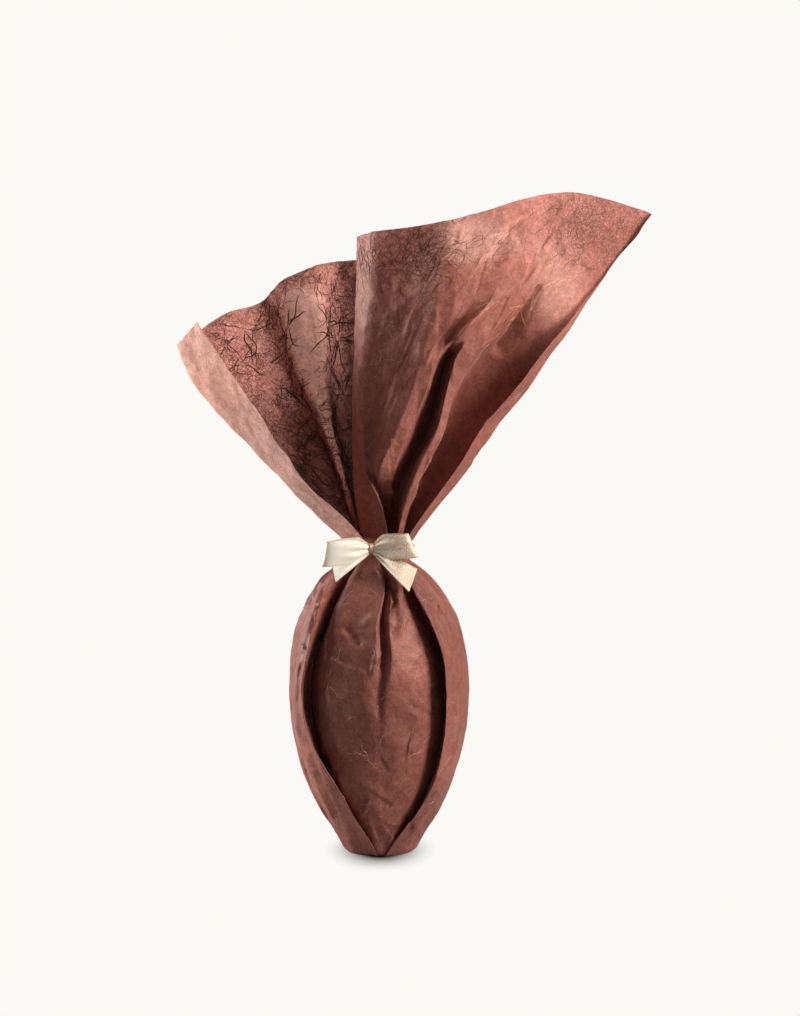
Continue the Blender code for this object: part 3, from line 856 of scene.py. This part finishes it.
backSheet = {
    "foot": 152.0,
    "heights": (152, 170, 185, 202, 221, 246),
    "rows": 250,
    "cornerSteps": 10,
    "flatSteps": 18,
    "turnBack": (0.0, 0.0),
    "folds": {
        "leftHem": ((-3, -16, -33.5, -45.5, -58, -75),
                    (-15, -20, -23, -26, -27, -24), (-89.5, -17, 267.5), 0),
        "leftTurn": ((-11.5, -32, -47, -65, -84, -100.5),
                     (-8, -7, -5, -3, -1, 2), (-102.5, 3, 253), 0.20),
        "leftPanel": ((-12, -24.5, -36, -46, -56.5, -66),
                      (-1.5, 3, 7.5, 10.5, 12, 13), (-77.5, 12, 271), 0.35),
        "leftValley": ((-11, -16, -21, -28, -38, -50.5),
                       (5.5, 9.5, 13, 16.5, 19, 21), (-60, 20, 274.5), 0.30),
        "leftRidge": ((-8.5, -14.5, -19, -25, -33, -42.5),
                      (0, 0, 2, 4, 6.5, 9), (-49, 12, 287), 0.16),
        "ridgeSide": ((-7.5, -13, -16.5, -20.5, -24.5, -28),
                      (-1, -2, -1, 1, 5, 10), (-31.5, 16, 294.5), 0.14),
        "middleValley": ((-5, -10, -13, -16, -18, -19.5),
                         (7.5, 11, 15, 18.5, 22.5, 25), (-21.5, 27, 296), 0.30),
        "middleRidge": ((-3, -3, -2.5, -2, -1.5, -1),
                        (14, 14.5, 15, 16, 17.5, 19.5), (0, 21, 297), 0.20),
        "rightValley": ((0.5, 3.5, 6, 8.5, 12, 16),
                        (9.5, 13, 17, 21.5, 26.5, 31), (24, 33, 295), 0.30),
        "rightRidge": ((5.5, 11, 16, 21, 27, 35),
                       (12.5, 14.5, 16.5, 18.5, 21, 24), (47, 27, 286), 0.25),
        "rightPanel": ((7, 15.5, 22.5, 31, 40, 52),
                       (7, 11.5, 16, 20.5, 25.5, 30), (66, 30, 274), 0.40),
        "rightHem": ((11, 23.5, 33, 43.5, 55.5, 71),
                     (5, 7, 9.5, 12, 14.5, 17), (80, 17, 260), 0),
    },
    "crumple": (1.2, 26.0),
    "smoothEdge": 0.08,
    "creases": (60, (10, 36), (0.3, 0.8), 20),
}

frontCreases = (
    (((53, 296), (57, 303), (63.5, 312), (75, 313)), -2.6, 3.0, 9.0, 0.3),
    (((55, 297), (74.5, 298.5)), 1.4, 2.0, 7.0, 0.25),
    (((74.5, 298.5), (70, 288)), 1.1, 1.2, 5.0, 0.3),
    (((84.5, 309), (96, 301), (95.5, 308)), 1.4, 2.0, 6.0, 0.3),
    (((96.5, 301), (105, 292)), 1.3, 6.0, 1.5, 0.3),
    (((105, 292), (107, 298)), 1, 2.0, 2.0, 0.3),
    (((-3, 182), (10, 184)), 1.4, 1.4, 1.4, 0.3),
    (((33, 255), (37, 251)), -1.3, 1.5, 1.5, 0.4),
    (((2, 215), (9, 206)), 0.6, 2.0, 2.0, 0.3),
    (((19, 198), (23, 204), (29, 206)), 0.6, 2.0, 1.0, 0.3),
    (((20.5, 242), (25.5, 255.5), (33.5, 266.5), (37, 278.5), (44.5, 292.5), (50.5, 299.5), (63, 313.5),
      (83, 327)), 2.2, 12.0, 1.4, 0.12),
    (((64, 268), (77, 286), (88, 306)), 0.8, 2.0, 9.0, 0.3),
    (((79, 288), (66.5, 267), (55, 250)), -3.6, 7.0, 0.9, 0.15),
    (((70, 262), (82, 284), (100, 300), (112, 306)), -1.2, 2.0, 9.0, 0.25),
    (((30, 300), (38, 306), (40, 316)), 1.2, 1.2, 6.0, 0.3),
)


def sheetGrid(sheet):
    # fold lines as smooth curves up the sheet, with flat paper between rounded folds
    share = np.linspace(0, 1, sheet["rows"])
    lines = []
    for sideways, depth, (rimX, rimY, rimZ), _ in sheet["folds"].values():
        z = sheet["foot"] + share * (rimZ - sheet["foot"])
        stations = (*sheet["heights"], rimZ)
        x = smoothThrough(stations, (*sideways, rimX), z)
        run, start = sheet["turnBack"]
        back = run * smoothMax(0, x - start, 12)
        y = smoothThrough(stations, (*depth, rimY), z) + back
        # what turns back stays where the camera sees it
        x, z = x + x * back / view["distance"], z - 0.1 * back * (1 - share**2)
        lines.append(np.stack([x, y, z], axis=-1))
    roundness = [fold[3] for fold in sheet["folds"].values()]
    weights = foldWeights(roundness, False, sheet["cornerSteps"], sheet["flatSteps"])
    return np.einsum("mk,nkc->nmc", weights, np.stack(lines, axis=1))


def columnShare(grid):
    # 0 along the first fold of a sheet, 1 along its last
    return np.broadcast_to(np.linspace(0, 1, grid.shape[1])[None], grid.shape[:2])


def makeSheet(name, sheet, creases, seed, fields):
    # the sheet's grid crumpled and creased; every field is a function of the grid and its highest value
    grid = sheetGrid(sheet)
    loose = smoothStep(np.linspace(0, 1, sheet["rows"])[:, None] / 0.25)
    grid = crumpled(grid, *sheet["crumple"], seed + 3, (4, 80, seed), loose)
    grid = pressIn(grid, creases)
    smooth = smoothStep((columnShare(grid) - sheet["smoothEdge"]) / 0.05)
    grid = pressIn(grid, randomCreases(grid, sheet["creases"], seed), False, loose * (0.15 + 0.85 * smooth))
    values = {field: np.clip(value(grid), 0, most) for field, (value, most) in fields.items()}
    makePiece(name, grid, gridFaces(*grid.shape[:2]), fibrePaperLook, "fibre_paper", values)
    return grid


def frontFibres(grid):
    # thickest in the right corner and at the top left, where the sheet is backlit: partly painted shade of
    # fibres against the light
    corner = bump2d(grid, 112, 312, 34, 34)
    topLeft = bump2d(grid, 14, 296, 30, 30)
    return 0.18 + 0.7 * corner + 0.3 * topLeft + 0.12 * wander(grid, 40, 31)


def leftFlap(grid):
    # what is turned over along the left edge of the back sheet
    return smoothStep((0.085 - columnShare(grid)) / 0.02)


def backFibres(grid):
    # thick all over the backlit sheet, partly painted shade of fibres against the light, but for the ridge,
    # where painted light washes them out, and the flap
    return 0.85 + 0.25 * wander(grid, 30, 32) - 0.65 * leftRidgeBand(grid) - 0.6 * leftFlap(grid)


def leftRidgeBand(grid):
    # the pale ridge of the back sheet, where sheen is painted: wide at the rim, narrow at the neck
    column, z = columnShare(grid), grid[..., 2]
    reach = 0.034 + 0.038 * smoothStep((z - 215) / 60)
    ends = smoothStep((288 - z) / 10) * smoothStep((z - 165) / 25)
    return smoothStep(1.5 - np.abs(column - 0.412) / reach) * ends


def paintedShadePanel(grid):
    # painted shade: the panel between the strip round the left edge and the first ridge, which lies in shade
    column, z = columnShare(grid), grid[..., 2]
    across = smoothStep((column - 0.235) / 0.02) * smoothStep((0.325 - column) / 0.04)
    return across * smoothStep((302 - z) / 40)


def frontGlow(grid):
    # a single layer near the rim, many layers low down, and less in the panel where shade is painted
    x, z = grid[..., 0], grid[..., 2]
    corner = bump2d(grid, 112, 312, 30, 30)
    top = bump2d(grid, 50, 305, 40, 16)
    through = 0.04 + 0.34 * smoothStep((z + 0.25 * x - 256) / 54)
    return through * (1 - 0.6 * corner) * (1 - 0.7 * paintedShadePanel(grid)) + 0.1 * top


def backGlow(grid):
    # more light towards the rim, and most on the ridge
    x, z = grid[..., 0], grid[..., 2]
    low = 0.04 + 0.36 * smoothStep((z - 0.45 * x - 222) / 60)
    return low + (0.3 + 0.25 * smoothStep((265 - z) / 50)) * leftRidgeBand(grid)


def frontPaintedSheen(grid):
    # painted sheen on the strip round the left edge, and painted highlights on the light folds near the rim
    column, z = columnShare(grid), grid[..., 2]
    strip = smoothStep((column - 0.12) / 0.03) * smoothStep((0.26 - column) / 0.03)
    top = bump2d(grid, 46, 308, 24, 14) + 0.6 * bump2d(grid, 88, 284, 16, 26)
    top += 0.5 * bump2d(grid, 22, 290, 10, 18)
    return 0.2 * strip * smoothStep((z - 215) / 60) + 0.5 * top


def frontShadeAndClouds(grid):
    # painted shade on the panel beside the strip, and faint clouds
    return 0.6 * paintedShadePanel(grid) + 0.1 * wander(grid, 50, 33)


def backLayers(grid):
    # faint clouds
    return 0.1 * wander(grid, 50, 34)


def backPaintedSheen(grid):
    # painted sheen on the flap and the ridge
    return 0.7 * leftFlap(grid) + 0.78 * leftRidgeBand(grid)


frontGrid = makeSheet("frontSheet", frontSheet, frontCreases, 41, {
    "fibres": (frontFibres, 1), "glow": (frontGlow, 0.6), "pale": (frontPaintedSheen, 1), "layersAndShade": (frontShadeAndClouds, 1),
})
backGrid = makeSheet("backSheet", backSheet, (), 51, {
    "fibres": (backFibres, 1), "glow": (backGlow, 0.6), "pale": (backPaintedSheen, 1), "layersAndShade": (backLayers, 1),
})
print("scene: paper sheets")


# Fibres that stand on the paper

def readGrid(values, row, column):
    # the grid's values at places between its points
    r0 = np.clip(np.floor(row).astype(int), 0, values.shape[0] - 2)
    c0 = np.clip(np.floor(column).astype(int), 0, values.shape[1] - 2)
    r, c = (row - r0)[..., None], (column - c0)[..., None]
    low = (1 - c) * values[r0, c0] + c * values[r0, c0 + 1]
    high = (1 - c) * values[r0 + 1, c0] + c * values[r0 + 1, c0 + 1]
    return (1 - r) * low + r * high


def strayHairs(grid, chance, draw, count, steps, together, bendSpread, mostSway, lengths, widths):
    # wavy paths over the grid: at a share t of the length the heading is start + bend t + a sway, which
    # is a sine of a few beats
    normals = gridNormals(grid)
    normals *= np.where(normals[..., 1:2] > 0, -1, 1)
    upLength = np.linalg.norm(np.gradient(grid, axis=0), axis=-1, keepdims=True)
    acrossLength = np.linalg.norm(np.gradient(grid, axis=1), axis=-1, keepdims=True)
    chance = (chance * upLength[..., 0] * acrossLength[..., 0]).ravel()
    clusters = draw.choice(chance.size, size=max(1, count // together), p=chance / chance.sum())
    first = clusters[draw.integers(0, len(clusters), count)]
    row = (first // grid.shape[1]).astype(float)
    column = (first % grid.shape[1]).astype(float)
    start = draw.uniform(0, 2 * math.pi, count)
    bend = draw.normal(0, bendSpread, count)
    sway = draw.uniform(0.3, 1.0, count) * mostSway
    phase, beats = draw.uniform(0, 2 * math.pi, count), draw.uniform(0.8, 2.2, count)
    step = draw.uniform(*lengths, count) / steps
    width = draw.uniform(*widths, count)
    paths, arrows = [], []
    for i in range(steps + 1):
        share = i / steps
        heading = start + bend * share + sway * np.sin(2 * math.pi * beats * share + phase)
        paths.append(readGrid(grid, row, column))
        arrow = readGrid(normals, row, column)
        arrows.append(arrow / np.maximum(np.linalg.norm(arrow, axis=-1, keepdims=True), 1e-6))
        up = readGrid(upLength, row, column)[..., 0]
        across = readGrid(acrossLength, row, column)[..., 0]
        row = np.clip(row + step * np.cos(heading) / np.maximum(up, 0.2), 0, grid.shape[0] - 1)
        column = np.clip(column + step * np.sin(heading) / np.maximum(across, 0.2), 0, grid.shape[1] - 1)
    return np.stack(paths, axis=1), np.stack(arrows, axis=1), width


def hairTubes(paths, arrows, width, lift):
    # three-sided tubes along the paths, thin at both ends, lifted off the paper along its normals
    count, steps = paths.shape[:2]
    run = np.gradient(paths, axis=1)
    run /= np.maximum(np.linalg.norm(run, axis=-1, keepdims=True), 1e-6)
    side = np.cross(run, arrows)
    side /= np.maximum(np.linalg.norm(side, axis=-1, keepdims=True), 1e-6)
    t = np.linspace(0, 1, steps)
    taper = np.clip(np.minimum(t, 1 - t) / 0.3, 0.12, 1)
    radius = 0.5 * width[:, None] * taper[None]
    middle = paths + arrows * (lift * radius[..., None])
    rings = []
    for k in range(3):
        angle = 2 * math.pi * k / 3 + math.pi / 2
        rings.append(middle + radius[..., None] * (math.cos(angle) * side + math.sin(angle) * arrows))
    points = np.stack(rings, axis=2)
    k = np.arange(count * steps * 3).reshape(count, steps, 3)
    across = np.roll(k, -1, axis=2)
    quads = np.stack([k[:, :-1], across[:, :-1], across[:, 1:], k[:, 1:]], axis=-1).reshape(-1, 4)
    ends = np.concatenate([k[:, 0, ::-1], k[:, -1]])
    return points.reshape(-1, 3), quads.tolist() + ends.tolist()


def makeHairs(name, kind, groups):
    # one mesh of all hairs of a colour; each group names its grid, where its hairs lie and their sizes
    allPoints, allFaces, count = [], [], 0
    for seed, (grid, chance, group) in enumerate(groups):
        *sizes, lift = hairGroups[group]
        draw = np.random.default_rng(920 + seed)
        points, faces = hairTubes(*strayHairs(grid, chance, draw, *sizes), lift)
        allPoints.append(points)
        allFaces += [[i + count for i in face] for face in faces]
        count += len(points)
    makePiece(name, np.concatenate(allPoints), allFaces, hairLooks[kind], "fibre_paper")


def leftLobe(grid):
    # the inner face of the back sheet that shows on the left, thickest low between the folds
    x, z = grid[..., 0], grid[..., 2]
    seen = smoothStep((-12 - x) / 4 + 1) * smoothStep((z - 160) / 12)
    onSheet = smoothStep((columnShare(grid) - 0.09) / 0.03)
    low = 1.1 + 1.2 * smoothStep((238 - z) / 45) + 0.4 * smoothStep((x + 34) / 8)
    return seen * onSheet * low * (1 - 0.98 * leftRidgeBand(grid)) + 1e-6


def forward(grid, start=2, run=4):
    # 1 on what lies well in front
    return smoothStep((-grid[..., 1] - start) / run)


def frontTop(grid):
    # along the rim, and in one fold
    left = bump2d(grid, 12, 300, 30, 13)
    edge = bump2d(grid, 40, 308, 40, 8)
    corner = bump2d(grid, 110, 312, 28, 22)
    pocket = bump2d(grid, 62, 238, 8, 8)
    return forward(grid) * (1.6 * left + 0.5 * edge + 0.8 * corner + 1.5 * pocket) + 1e-6


def frontAll(grid):
    # all but the foot
    return forward(grid) * smoothStep((grid[..., 2] - 190) / 40) + 1e-6


def frontFolds(grid):
    # in two folds
    return forward(grid) * (bump2d(grid, 72, 276, 10, 16) + 0.7 * bump2d(grid, 54, 292, 12, 12)) + 1e-7


def eggFront(grid):
    # what faces the viewer
    return forward(grid, 20, 8) + 1e-6


# how many hairs, steps along each, hairs that share a start, bend and sway of their heading in radians,
# length and width, and lift off the paper as a share of the radius
hairGroups = {
    "thick": (60, 22, 4, 0.6, 0.45, (8, 22), (0.45, 0.9), 0.5),
    "twig": (880, 13, 8, 0.9, 0.5, (4, 14), (0.2, 0.42), 0.5),
    "fine": (2000, 9, 3, 1.2, 0.7, (3, 10), (0.12, 0.26), 0.4),
    "top": (420, 14, 3, 0.7, 0.5, (5, 18), (0.12, 0.30), 0.3),
    "sheet": (420, 16, 2, 1.2, 0.7, (5, 16), (0.10, 0.20), 0.2),
    "pale": (60, 18, 1, 1.4, 0.5, (6, 16), (0.12, 0.2), 0.2),
    "egg": (60, 18, 1, 1.0, 0.5, (6, 14), (0.12, 0.2), 0.1),
    "golden": (9, 20, 1, 0.5, 0.3, (8, 16), (0.3, 0.5), 0.4),
}

eggSkinGrid = eggGrid[14:240]  # without its underside and neck
innerBack = backGrid[:, 30:]  # without the flap
leftChance = leftLobe(backGrid)[:, 30:]
makeHairs("darkHairs", "dark", (
    (innerBack, leftChance, "thick"),
    (innerBack, leftChance, "twig"),
    (innerBack, leftChance, "fine"),
))
makeHairs("brownHairs", "brown", (
    (frontGrid, frontTop(frontGrid), "top"),
    (frontGrid, frontAll(frontGrid), "sheet"),
))
makeHairs("paleHairs", "pale", (
    (frontGrid, frontAll(frontGrid), "pale"),
    (eggSkinGrid, eggFront(eggSkinGrid), "egg"),
))
makeHairs("goldenHairs", "golden", ((frontGrid, frontFolds(frontGrid), "golden"),))
print("scene: fibres")


# The bow

bow = {
    "knot": (-4.0, -23.2, 156.1),
    "pinch": 4.4,
    "pinchReach": 0.34,
    "thickness": 0.35,
    "loopSteps": 96,
    "tailSteps": 60,
    "acrossSteps": 28,
    "loopRun": 60,  # length of the ribbon in a loop and in a tail, for its weave
    "tailRun": 26,
    # far turn, lean there, half the depth
    "leftLoop": ((-27.4, -27.5, 153.6), 9.0, 4.2),
    "rightLoop": ((16.4, -29.0, 158.2), -22.0, 4.2),
    # upper corner, lower corner, forward bow of each edge
    "leftTail": ((-23.4, -28.0, 148.0), (-21.6, -31.5, 140.3), -1.0, 0.5),
    "rightTail": ((18.6, -25.5, 146.2), (14.4, -35.0, 135.9), 1.0, 2.5),
}


def makeRibbon(name, points, lengths):
    # a ribbon from a grid of points, with a map of its real size for the weave and a thin wall
    faces = gridFaces(*points.shape[:2])
    piece = makePiece(name, points, faces, satinRibbonLook, "satin_ribbon")
    u = np.broadcast_to(lengths[:, None], points.shape[:2]) * mm
    v = np.broadcast_to(np.linspace(0, satin["ribbonWidth"] * mm, points.shape[1]), points.shape[:2])
    corners = np.array(faces).ravel()
    layer = piece.data.uv_layers.new(name="ribbon")
    uv = np.stack([u.ravel()[corners], v.ravel()[corners]], axis=-1)
    layer.data.foreach_set("uv", uv.astype(np.float32).ravel())
    wall = piece.modifiers.new("wall", "SOLIDIFY")
    wall.thickness = bow["thickness"] * mm
    wall.offset = 0.0
    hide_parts("bow")


def ribbonLoop(name):
    # out from the knot in front, round the far turn and back behind; it cups and pleats at the pinch
    farTurn, lean, depth = bow[name]
    turn = np.linspace(0, 2 * math.pi, bow["loopSteps"] + 1)
    out = 0.5 * (1 - np.cos(turn))
    knot = np.array(bow["knot"])
    line = knot + out[:, None] * (np.array(farTurn) - knot)
    line[:, 1] -= depth * np.sin(turn) * (0.35 + 0.65 * out)
    widening = (satin["ribbonWidth"] - bow["pinch"]) * smoothStep(out / bow["pinchReach"])
    half = 0.5 * (bow["pinch"] + widening)
    tilt = np.radians(lean * out)
    across = np.stack([np.sin(tilt), np.zeros_like(tilt), np.cos(tilt)], axis=-1)
    s = np.linspace(-1, 1, bow["acrossSteps"] + 1)
    points = line[:, None] + (s[None] * half[:, None])[..., None] * across[:, None]
    gather = (1 - smoothStep(out / 0.75))[:, None]
    front = np.where(turn < math.pi, 1.0, -1.0)[:, None]
    pleat = gather * (1.1 * np.cos(2.6 * math.pi * s + 0.6) + 1.3 * s**2 - 0.6)[None]
    cup = (1 - gather) * (1.6 * s**2)[None]
    points[..., 1] += front * (pleat * np.sin(turn)[:, None] ** 2 + cup * np.abs(np.sin(turn))[:, None])
    return points, np.linspace(0, bow["loopRun"], len(turn))


def ribbonTail(name):
    # from the knot to the cut end, straight across between an upper and a lower edge, each a line that
    # bows forward or back
    upper, lower, upperBow, lowerBow = bow[name]
    t = np.linspace(0, 1, bow["tailSteps"] + 1)[:, None]
    knot = np.array(bow["knot"])
    start = np.array([0, 0, 0.5 * bow["pinch"]])
    bulge = 4 * t * (1 - t)
    up = (1 - t) * (knot + start) + t * np.array(upper) + bulge * np.array([0, -upperBow, 0])
    low = (1 - t) * (knot - start) + t * np.array(lower) + bulge * np.array([0, -lowerBow, 0])
    s = np.linspace(0, 1, bow["acrossSteps"] + 1)[None, :, None]
    points = (1 - s) * low[:, None] + s * up[:, None]
    points[..., 1] += 0.5 * np.sin(3.5 * s[..., 0] * math.pi + 0.5) * (1 - t) * smoothStep(t / 0.15)
    return points, np.linspace(0, bow["tailRun"], len(t))


for loopName in ("leftLoop", "rightLoop"):
    makeRibbon(loopName, *ribbonLoop(loopName))
for tailName in ("leftTail", "rightTail"):
    makeRibbon(tailName, *ribbonTail(tailName))


# The wire round the knot, and the tie behind it

knotWire = {
    "turns": 3, "spacing": 0.62, "radius": 0.34, "reach": (1.9, 2.5), "lean": 0.25, "sides": 10, "steps": 48,
}


def wireTurns():
    # closed turns side by side round the pinch: each is a circle carried round an upright oval
    turn = np.linspace(0, 2 * math.pi, knotWire["steps"], endpoint=False)
    ring = np.linspace(0, 2 * math.pi, knotWire["sides"], endpoint=False)
    deep, high = knotWire["reach"]
    points, faces = [], []
    for i in range(knotWire["turns"]):
        shift = (i - 0.5 * (knotWire["turns"] - 1)) * knotWire["spacing"]
        outward = np.stack([np.zeros_like(turn), np.cos(turn), np.sin(turn)], axis=-1)
        middle = np.array(bow["knot"]) + outward * (0, deep, high)
        middle[:, 0] += shift * (1 + knotWire["lean"] * np.cos(turn))
        rim = np.cos(ring)[None, :, None] * outward[:, None] + np.sin(ring)[None, :, None] * (1, 0, 0)
        tube = middle[:, None] + knotWire["radius"] * rim
        grid = np.concatenate([tube, tube[:1]])
        quads = np.array(gridFaces(*grid.shape[:2], closed=True))
        size = tube.shape[0] * tube.shape[1]
        faces += (quads % size + i * size).tolist()
        points.append(tube.reshape(-1, 3))
    return np.concatenate(points), faces


makePiece("knotWire", *wireTurns(), goldWireLook, "gold_wire")
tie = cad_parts["neck_tie"]
tie.data.materials.clear()
tie.data.materials.append(goldWireLook)
tie.data.shade_smooth()
print("scene: bow and tie")
